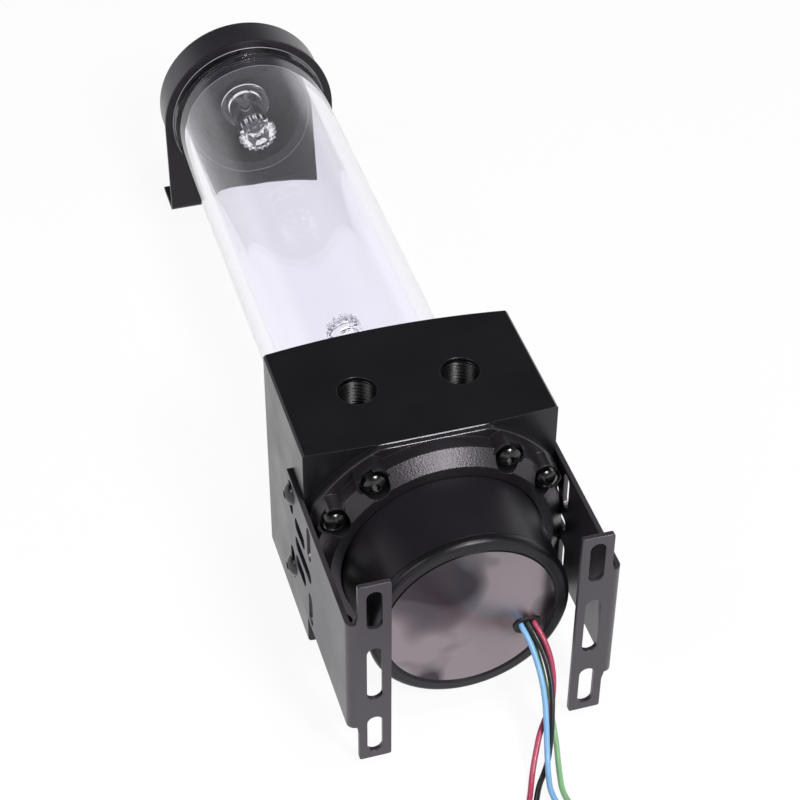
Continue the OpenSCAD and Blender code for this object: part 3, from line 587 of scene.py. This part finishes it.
def revolve(loop, count):
    """Carry a loop of (radius, place along Y) round the tube's axis in count steps:
    x = radius * sin(angle), z = axis height + radius * cos(angle)."""
    angle = np.linspace(0, 2 * np.pi, count, endpoint=False)[:, None]
    radius, place = loop[:, 0][None, :], loop[:, 1][None, :]
    return np.stack([radius * np.sin(angle), place + 0 * angle, AXIS_Z + radius * np.cos(angle)], axis=-1)


def stand(centre, radius, level):
    """Points round an upright axis at X = centre: x = centre + radius * cos(angle),
    y = radius * sin(angle). Each row of radius and of level belongs to one angle."""
    angle = np.linspace(0, 2 * np.pi, len(radius), endpoint=False)[:, None]
    return np.stack([centre + radius * np.cos(angle), radius * np.sin(angle), level], axis=-1)


print("a square loop gets", len(broken_edges([(1, 0), (1, 1), (2, 1), (2, 0)], 0.1, 0.04)), "points")

# %% [markdown]
# The tube is cut from extruded stock and turned at both ends. Fine grooves inside each end are
# what the threads of the block and of the cap leave, and they catch the light as thin arcs.
# The threads could be spirals, but rings in the same places look the same at this slope.

# %% Reservoir tube
WALL = 5.0
GROOVES = 4
GROOVE_PITCH = 1.6
GROOVE_START = 5.5
GROOVE_HALF = 0.4
GROOVE_DEPTH = 0.3
TUBE_STEPS = 360
EDGE_CUT, EDGE_KEEP = 0.1, 0.04

tube_r = (corner("reservoir_tube", 1, 0) - corner("reservoir_tube", 0, 0)) / 2
low_end, high_end = corner("reservoir_tube", 0, 1), corner("reservoir_tube", 1, 1)
inner_r = tube_r - WALL
starts = [high_end - GROOVE_START - k * GROOVE_PITCH for k in range(GROOVES)]
far_grooves = [point for y in starts for point in
               [(inner_r, y), (inner_r + GROOVE_DEPTH, y - GROOVE_HALF), (inner_r, y - 2 * GROOVE_HALF)]]
near_grooves = [(r, low_end + high_end - y) for r, y in far_grooves[::-1]]
outside = [(tube_r, low_end), (tube_r, high_end)]
inside = [(inner_r, high_end)] + far_grooves + near_grooves + [(inner_r, low_end)]
profile = broken_edges(outside + inside, EDGE_CUT, EDGE_KEEP)
tube = surface("tube_of_acrylic", revolve(profile, TUBE_STEPS), tube_acrylic, "pump", rows_closed=True)
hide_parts("reservoir_tube")

# %% [markdown]
# Two light plugs are moulded from clear acrylic, one in the cap and one on the block. A lamp
# sits in the bore behind the first, and the flutes round its tip scatter the light. They could
# be cut out with a boolean, which tears easily in clear parts. Here the radius itself waves
# with the angle, and only at the tip, so the depth of the flutes is one more column of the
# profile.

# %% Light plugs
FLUTES = 18
STEPS_PER_FLUTE = 8
PLUG_CUT = 0.12
# A profile starts and ends this far off the axis, and a fan of triangles closes it
POLE_R = 0.3
# The dimple that the gate of the mould leaves in the middle of each tip
DIMPLE_R, DIMPLE_FLOOR_R = 1.7, 1.3
DIMPLE_DEPTH, DIMPLE_POLE_DEPTH = 0.9, 1.2


def plug(name, corners, node, body):
    """Carry (radius, place along Y, flute depth) corners round the axis. Each corner but the
    ends is cut back a little, and the radius loses depth * (1 + cos(FLUTES * angle)) / 2."""
    here = np.array(corners, dtype=float)
    before, after = here[:-2] - here[1:-1], here[2:] - here[1:-1]
    cut = cut_corners(here[1:-1], before, after, PLUG_CUT, PLUG_CUT / 2)
    path = np.vstack([here[:1], cut, here[-1:]])
    angle = np.linspace(0, 2 * np.pi, FLUTES * STEPS_PER_FLUTE, endpoint=False)[None, :]
    radius = path[:, :1] - path[:, 2:] * (1 + np.cos(FLUTES * angle)) / 2
    place = path[:, 1:2] + 0 * angle
    points = np.stack([radius * np.sin(angle), place, AXIS_Z + radius * np.cos(angle)], axis=-1)
    piece = surface(name, points, plug_acrylic, body)
    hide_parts(node)


# %% Plug in the cap
FLUTE_DEPTH = 0.9
FACE_R = 5.2
HEAD_R, HEAD_NEAR, HEAD_FAR = 7.7, 1.0, 4.6
BARREL_R, BARREL_NEAR, BARREL_FAR = 6.6, 6.0, 20.6
FLANGE_R, FLANGE_NEAR, FLANGE_FAR = 9.4, 21.1, 22.9
NECK_R = 6.5
SOCKET_R, SOCKET_DEPTH = 4.2, 8.6
LAMP_BORE_R, LAMP_BORE_END, LAMP_BORE_POLE = 2.5, 7.5, 6.4

tip, back = corner("light_plug", 0, 1), corner("light_plug", 1, 1)
plug_tip = [(POLE_R, tip + DIMPLE_POLE_DEPTH, 0), (DIMPLE_FLOOR_R, tip + DIMPLE_DEPTH, 0),
            (DIMPLE_R, tip, 0), (FACE_R, tip, 0)]
plug_side = [(HEAD_R - 0.1, tip + HEAD_NEAR, FLUTE_DEPTH), (HEAD_R, tip + HEAD_FAR, FLUTE_DEPTH),
             (BARREL_R, tip + BARREL_NEAR, 0), (BARREL_R, tip + BARREL_FAR, 0),
             (FLANGE_R, tip + FLANGE_NEAR, 0), (FLANGE_R, tip + FLANGE_FAR, 0),
             (NECK_R, tip + FLANGE_FAR + 0.2, 0), (NECK_R, back, 0)]
plug_bore = [(SOCKET_R, back, 0), (SOCKET_R, back - SOCKET_DEPTH, 0),
             (LAMP_BORE_R, back - SOCKET_DEPTH - 0.4, 0), (LAMP_BORE_R, tip + LAMP_BORE_END, 0),
             (POLE_R, tip + LAMP_BORE_POLE, 0)]
plug("light_plug_clear", plug_tip + plug_side + plug_bore, "light_plug", "cap")

# %% Riser on the block
RISER_R = 5.4
RISER_HEAD_R = 6.2
RISER_FLUTE_DEPTH = 0.7
RISER_FACE_R = 4.4
# Depths below the riser's top: the shoulder, and the two ends of the fluted head
SHOULDER, HEAD_BACK, HEAD_FRONT = 4.6, 4.0, 0.9

foot, top = corner("light_riser", 0, 1), corner("light_riser", 1, 1)
riser_side = [(POLE_R, foot, 0), (RISER_R, foot, 0), (RISER_R, top - SHOULDER, 0),
              (RISER_HEAD_R, top - HEAD_BACK, RISER_FLUTE_DEPTH),
              (RISER_HEAD_R, top - HEAD_FRONT, RISER_FLUTE_DEPTH)]
riser_tip = [(RISER_FACE_R, top, 0), (DIMPLE_R, top, 0), (DIMPLE_FLOOR_R, top - DIMPLE_DEPTH, 0),
             (POLE_R, top - DIMPLE_POLE_DEPTH, 0)]
plug("light_riser_clear", riser_side + riser_tip, "light_riser", "pump")

# %% [markdown]
# Two edges of the ring, where it comes level with the block's face, catch the light as bright lines.
# Here those lines are painted highlights: two thin pale strips lie along the edges. A mask in the
# paint could show them. Two thin strips are simpler and keep their sharp ends.

# %% Painted highlights on the ring's edges
STRIP_HEIGHT = 0.06
STRIP_END = 0.999


# Each strip is a painted highlight: a thin pale line along an edge of the ring
def highlight_strip(name, y, width, half_length):
    """A strip along X on the block's upper face. Its section is a flat oval of the given width,
    and both shrink towards the ends as root(1 - share to the eighth) does."""
    share = np.linspace(-STRIP_END, STRIP_END, 25)[:, None]
    angle = np.linspace(0, 2 * np.pi, 12, endpoint=False)[None, :]
    taper = (1 - share ** 8) ** 0.5
    across = y + taper * width / 2 * np.cos(angle)
    level = PORT_FACE_Z + taper * STRIP_HEIGHT * np.sin(angle)
    points = np.stack([share * half_length + 0 * angle, across, level], axis=-1)
    surface(name, points, strip_highlight, "pump")


# Painted highlight: a pale grey metal with a broad dull shine, never a mirror
strip_highlight = coated("painted_highlight_pale", "c9c7cd", size_mm=0.3, height_mm=0.004, rough=0.55, Metallic=0.6)
ring_back = corner("clamp_ring", 1, 1)
highlight_strip("ring_highlight_back", y=ring_back + 0.05, width=0.5, half_length=17.2)
highlight_strip("ring_highlight_front", y=ring_back - 2.0, width=0.22, half_length=16.4)

# %% [markdown]
# Two more edges catch the light as thin bright lines: the hole in the upper bracket and the front
# edge of the cap's neck. Both lines are painted highlights, a thin pale hoop that lies in each edge.
# Such a line could be painted by curvature. A hoop does the same and stays on the edge.

# %% Painted highlights on two round edges
# A hoop's centre lies this far in front of the bracket's face, and behind the neck's
HOOP_SHIFT = 0.02


# Each hoop is a painted highlight that lies in an edge
def highlight_hoop(name, radius, y, section, material, body):
    """A thin hoop round the tube's axis: a circle of the section's radius, carried round it."""
    angle = np.linspace(0, 2 * np.pi, 10, endpoint=False)
    loop = np.column_stack([radius + section * np.cos(angle), y + section * np.sin(angle)])
    surface(name, revolve(loop, 144), material, body, rows_closed=True)


# Painted highlight on the hole's edge: a thin pale line with a satin shine
hole_highlight = coated("painted_highlight_steel", "b9b6bd", size_mm=0.3, height_mm=0.004, rough=0.45, Metallic=0.7)
hole_y = corner("top_bracket", 0, 1) - HOOP_SHIFT
highlight_hoop("bracket_hole_highlight", radius=tube_r + 0.45, y=hole_y, section=0.13,
          material=hole_highlight, body="pump")
# Painted highlight on the neck's edge: a pale grey, glossier than the turned faces beside it
neck_highlight = coated("painted_highlight_acetal", "9a979e", size_mm=0.3, height_mm=0.004, rough=0.35, IOR=1.48)
neck_y = corner("reservoir_cap", 0, 1) + HOOP_SHIFT
highlight_hoop("neck_front_highlight", radius=inner_r - 1.05, y=neck_y, section=0.12,
          material=neck_highlight, body="cap")

# %% [markdown]
# Each port takes a pipe thread. It starts just under the face, and what shows of it is its
# crests and a few glints between them. A screw modifier could wind it. Here the inner radius
# rises and falls with height and angle together, which is what a thread is, and the sleeve
# stays one closed piece.

# %% Port threads
PORT_X = {"left": -16.5, "right": 16.5}
PORT_R = 6.6
THREAD_PITCH = 1.337
THREAD_DEPTH = 0.8
THREAD_START, THREAD_END = 1.2, 10.6
FIRST_TURN_SHARE = 0.15
# Both sides of the sleeve stay clear of the wall of the hole by a little
ROOT_CLEAR, BACK_CLEAR = 0.05, 0.02
THREAD_ANGLES, THREAD_ROWS = 72, 85


def thread(name, centre):
    """A threaded sleeve round a vertical axis. Its inner radius rises and falls as the height
    plus the angle's share of one pitch runs through each pitch, and its back lies just clear
    of the wall of the hole. The loop closes over the top and the bottom."""
    top, bottom = PORT_FACE_Z - THREAD_START, PORT_FACE_Z - THREAD_END
    angle = np.linspace(0, 2 * np.pi, THREAD_ANGLES, endpoint=False)[:, None]
    height = np.linspace(bottom, top, THREAD_ROWS)[None, :]
    phase = height / THREAD_PITCH - angle / (2 * np.pi)
    crest = 1 - np.abs(2 * (phase % 1) - 1)
    # The crests grow to full height over the first millimetre
    grown = np.clip((top - height) / 1.0, 0, 1)
    share = FIRST_TURN_SHARE + (1 - FIRST_TURN_SHARE) * grown
    inner = PORT_R - ROOT_CLEAR - THREAD_DEPTH * crest * share
    radius = np.hstack([inner, np.full((THREAD_ANGLES, 2), PORT_R - BACK_CLEAR)])
    back_level = np.broadcast_to([[top, bottom]], (THREAD_ANGLES, 2))
    level = np.hstack([height + 0 * angle, back_level])
    # The sleeve's dark colour is painted shade in the bore
    sleeve = surface(name, stand(centre, radius, level), tapped_shade, "pump", rows_closed=True)


# Tapped acetal, painted darker than the milled faces: painted shade in the bore, where light is lost
# between the crests
tapped_shade = coated("acetal_tapped_painted_shade", "060607", size_mm=0.5, height_mm=0.004, rough=0.3, spread=0.04, IOR=1.4)
for side, x in PORT_X.items():
    thread("port_thread_" + side, x)

# %% [markdown]
# The mouth of each port is narrower than its thread's root. A thin lip closes over the thread's
# start, and its rounded edge takes the glint of the lamp. Its flat face has to vanish in the
# block's own, so it starts a few thousandths of a millimetre above it and ends as far below.

# %% Port lips
LIP_R = 6.15
LIP_ROUND = 0.3
LIP_FLAT = 7.3
LIP_REACH = 8.7
LIP_DEPTH = 1.25
LIP_ANGLES = 96
DIP = 0.006


def lip(name, centre):
    """A profile carried round a vertical axis: a straight wall, a quarter circle of LIP_ROUND,
    and a face that starts DIP above the block's own and ends as far below it."""
    turn = np.linspace(0, np.pi / 2, 6)
    wall = [(LIP_R, -LIP_DEPTH), (LIP_R, -LIP_ROUND - 0.1)]
    edge = np.column_stack([LIP_R + LIP_ROUND * (1 - np.cos(turn)), DIP - LIP_ROUND * (1 - np.sin(turn))])
    flat = [(LIP_R + LIP_ROUND + 0.1, DIP), (LIP_FLAT, DIP), (LIP_REACH - 0.1, -DIP), (LIP_REACH, -DIP)]
    under = [(LIP_REACH, -0.1), (LIP_R + 0.4, -LIP_DEPTH)]
    loop = np.vstack([wall, edge, flat, under])
    radius = np.tile(loop[:, 0], (LIP_ANGLES, 1))
    level = np.tile(PORT_FACE_Z + loop[:, 1], (LIP_ANGLES, 1))
    ring = surface(name, stand(centre, radius, level), faced, "pump", rows_closed=True)


# The block's own finish, without the look of a rounded edge that would ring the lip
faced = coated("acetal_faced", ACETAL_BLACK, **milled)
for side, x in PORT_X.items():
    lip("port_lip_" + side, x)

# %% [markdown]
# The object lies on a plain pale sheet. To the camera, to a mirror and through glass the sheet
# is nearly white, and it still takes the object's shadow. That whiteness is a share of plain
# emission on those rays alone. More lamp light would reach it too, but it would wash out the
# blacks.

# %% Floor
FLOOR_HALF = 6.0
FLOOR_WHITE = 0.93


def seen(tree):
    """1 for a ray that shows the background: straight to the camera, mirrored or through glass."""
    path = add(tree, "ShaderNodeLightPath").outputs
    mirrored = add(tree, "ShaderNodeMath", [
        (0, path["Is Camera Ray"]), (1, path["Is Glossy Ray"])], operation="MAXIMUM")
    return add(tree, "ShaderNodeMath", [
        (0, mirrored.outputs[0]), (1, path["Is Transmission Ray"])], operation="MAXIMUM").outputs[0]


half = FLOOR_HALF
corners = [(-half, -half, 0), (half, -half, 0), (half, half, 0), (-half, half, 0)]
sheet = bpy.data.meshes.new("floor")
sheet.from_pydata(corners, [], [(0, 1, 2, 3)])
floor = bpy.data.objects.new("floor", sheet)
bpy.context.collection.objects.link(floor)

# Matt paper: an even white with no shine
paper, paper_shader = blank("studio_paper")
fill(paper_shader, Base_Color=colour("f2f2f4"), Roughness=0.9)
tree = paper.node_tree
glow = add(tree, "ShaderNodeEmission", [("Color", (1, 1, 1, 1)), ("Strength", 1.0)])
whiteness = add(tree, "ShaderNodeMath", [(0, seen(tree)), (1, FLOOR_WHITE)], operation="MULTIPLY")
mix = add(tree, "ShaderNodeMixShader", [
    ("Fac", whiteness.outputs[0]), (1, paper_shader.outputs["BSDF"]), (2, glow.outputs["Emission"])])
output = next(node for node in tree.nodes if node.type == "OUTPUT_MATERIAL")
tree.links.new(mix.outputs["Shader"], output.inputs["Surface"])
sheet.materials.append(paper)
print("the floor is", 2 * FLOOR_HALF, "m square")

# %% [markdown]
# The room is nearly dark, so that black plastic stays black. Its walls are pale up to a low
# height, and only for mirrored rays: that lights the lower faces of the block and leaves its
# upper face dark. To the camera and through glass the room is white all round.

# %% Room
# Heights on a unit sphere: pale walls up to 9 degrees, a dark ceiling from 24 degrees up
WALL_TOP, CEILING = 0.16, 0.4

world = bpy.data.worlds.new("room")
bpy.context.scene.world = world
world.use_nodes = True
tree = world.node_tree
tree.nodes.clear()
direction = add(tree, "ShaderNodeTexCoord").outputs["Generated"]
height = add(tree, "ShaderNodeSeparateXYZ", [("Vector", direction)]).outputs["Z"]
wall = add(tree, "ShaderNodeMapRange", [
    ("Value", height), ("From Min", WALL_TOP), ("From Max", CEILING), ("To Min", 1.0), ("To Max", 0.0)],
    interpolation_type="SMOOTHSTEP")
path = add(tree, "ShaderNodeLightPath").outputs
mirrored = add(tree, "ShaderNodeMath", [
    (0, path["Is Glossy Ray"]), (1, wall.outputs["Result"])], operation="MULTIPLY")
direct = add(tree, "ShaderNodeMath", [
    (0, path["Is Camera Ray"]), (1, path["Is Transmission Ray"])], operation="MAXIMUM")
white_share = add(tree, "ShaderNodeMath", [
    (0, mirrored.outputs[0]), (1, direct.outputs[0])], operation="MAXIMUM")
dim = add(tree, "ShaderNodeBackground", [("Color", colour("d2d2dc")), ("Strength", 0.1)])
white = add(tree, "ShaderNodeBackground", [("Color", (1, 1, 1, 1)), ("Strength", 1.0)])
mix = add(tree, "ShaderNodeMixShader", [
    ("Fac", white_share.outputs[0]), (1, dim.outputs[0]), (2, white.outputs[0])])
add(tree, "ShaderNodeOutputWorld", [("Surface", mix.outputs["Shader"])])
print("the room has", len(tree.nodes), "nodes")

# %% [markdown]
# Three soft square lamps light the object. The key stands in front and to the right, where the
# ring's bevel mirrors it. The left one fills the shaded side, and the top one lays a soft
# shadow under the object. Area lamps are used because their size sets how soft that shadow is.

# %% Lamps
def lamp(name, place, target, size, watts):
    """A soft square lamp that looks from place to target. Its own -Z is the way it shines, so
    its matrix has the columns side, up and back, as the camera's has."""
    light = bpy.data.lights.new(name, "AREA")
    light.energy = watts
    light.size = size
    back = np.array(place) - np.array(target)
    back = back / np.linalg.norm(back)
    side = np.cross((0.0, 0.0, 1.0), back)
    side = side / np.linalg.norm(side)
    turned_to = Matrix(np.column_stack([side, np.cross(back, side), back]).tolist()).to_4x4()
    lamp_object = bpy.data.objects.new(name, light)
    lamp_object.matrix_world = Matrix.Translation(place) @ turned_to
    bpy.context.collection.objects.link(lamp_object)
    print(name, "lamp:", watts, "W over", size, "m")


# Places and sizes in metres
lamp("key", (0.3, -0.95, 1.0), (0, 0, 0.04), 0.34, 16)
lamp("left", (-1.0, -0.3, 0.9), (0, 0, 0.04), 0.6, 5)
lamp("top", (0.3, -0.2, 1.5), (0, 0.05, 0.04), 0.5, 8)
bpy.context.scene.view_settings.view_transform = "Standard"
